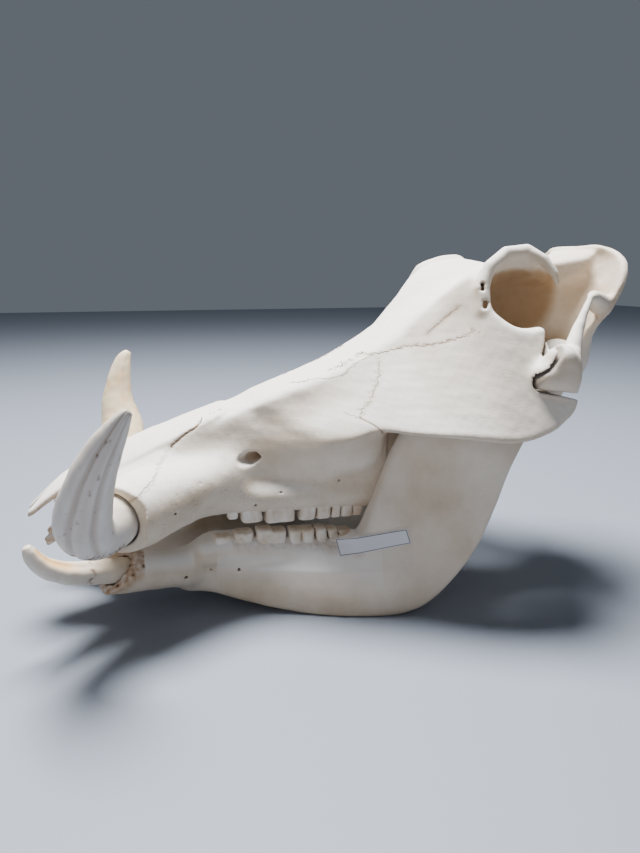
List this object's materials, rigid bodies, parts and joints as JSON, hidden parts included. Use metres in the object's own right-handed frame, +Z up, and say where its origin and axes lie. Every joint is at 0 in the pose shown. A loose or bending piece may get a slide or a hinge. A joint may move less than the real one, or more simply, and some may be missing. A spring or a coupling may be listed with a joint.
{
  "type": "warthog skull",
  "caption": "Life-size warthog skull with jaw, four curved tusks and worn cheek teeth, resting on the lower edge of its jaw.",
  "frame": {"origin": "middle of the whole skull's length and width, on the table", "axes": "+X from the snout to the back of the head, +Y to the animal's right, +Z up from the table"},
  "size_m": [0.3902, 0.2266, 0.2329],
  "materials": {
    "bone": "dry cleaned bone, matt, with a faint grain and brown stains in pores and sutures",
    "tusk_ivory": "cream ivory, softly polished, with long grooves",
    "tooth_enamel": "worn cream enamel with brown lines between columns"
  },
  "bodies": {
    "root": {"cranium": "bone", "mandible": "bone", "nasal_left": "bone", "nasal_right": "bone", "premaxilla_left": "bone", "premaxilla_right": "bone", "jugal_left": "bone", "jugal_right": "bone", "squamosal_left": "bone", "squamosal_right": "bone", "upper_tusk_left": "tusk_ivory", "upper_tusk_right": "tusk_ivory", "lower_tusk_left": "tusk_ivory", "lower_tusk_right": "tusk_ivory", "upper_p3_left": "tooth_enamel", "upper_p3_right": "tooth_enamel", "upper_p4_left": "tooth_enamel", "upper_p4_right": "tooth_enamel", "upper_m2_left": "tooth_enamel", "upper_m2_right": "tooth_enamel", "upper_m3_left": "tooth_enamel", "upper_m3_right": "tooth_enamel", "lower_p3_left": "tooth_enamel", "lower_p3_right": "tooth_enamel", "lower_p4_left": "tooth_enamel", "lower_p4_right": "tooth_enamel", "lower_m2_left": "tooth_enamel", "lower_m2_right": "tooth_enamel", "lower_m3_left": "tooth_enamel", "lower_m3_right": "tooth_enamel", "upper_incisor_left": "tooth_enamel", "upper_incisor_right": "tooth_enamel", "lower_incisor_1_left": "tooth_enamel", "lower_incisor_1_right": "tooth_enamel", "lower_incisor_2_left": "tooth_enamel", "lower_incisor_2_right": "tooth_enamel"}
  },
  "joints": []
}
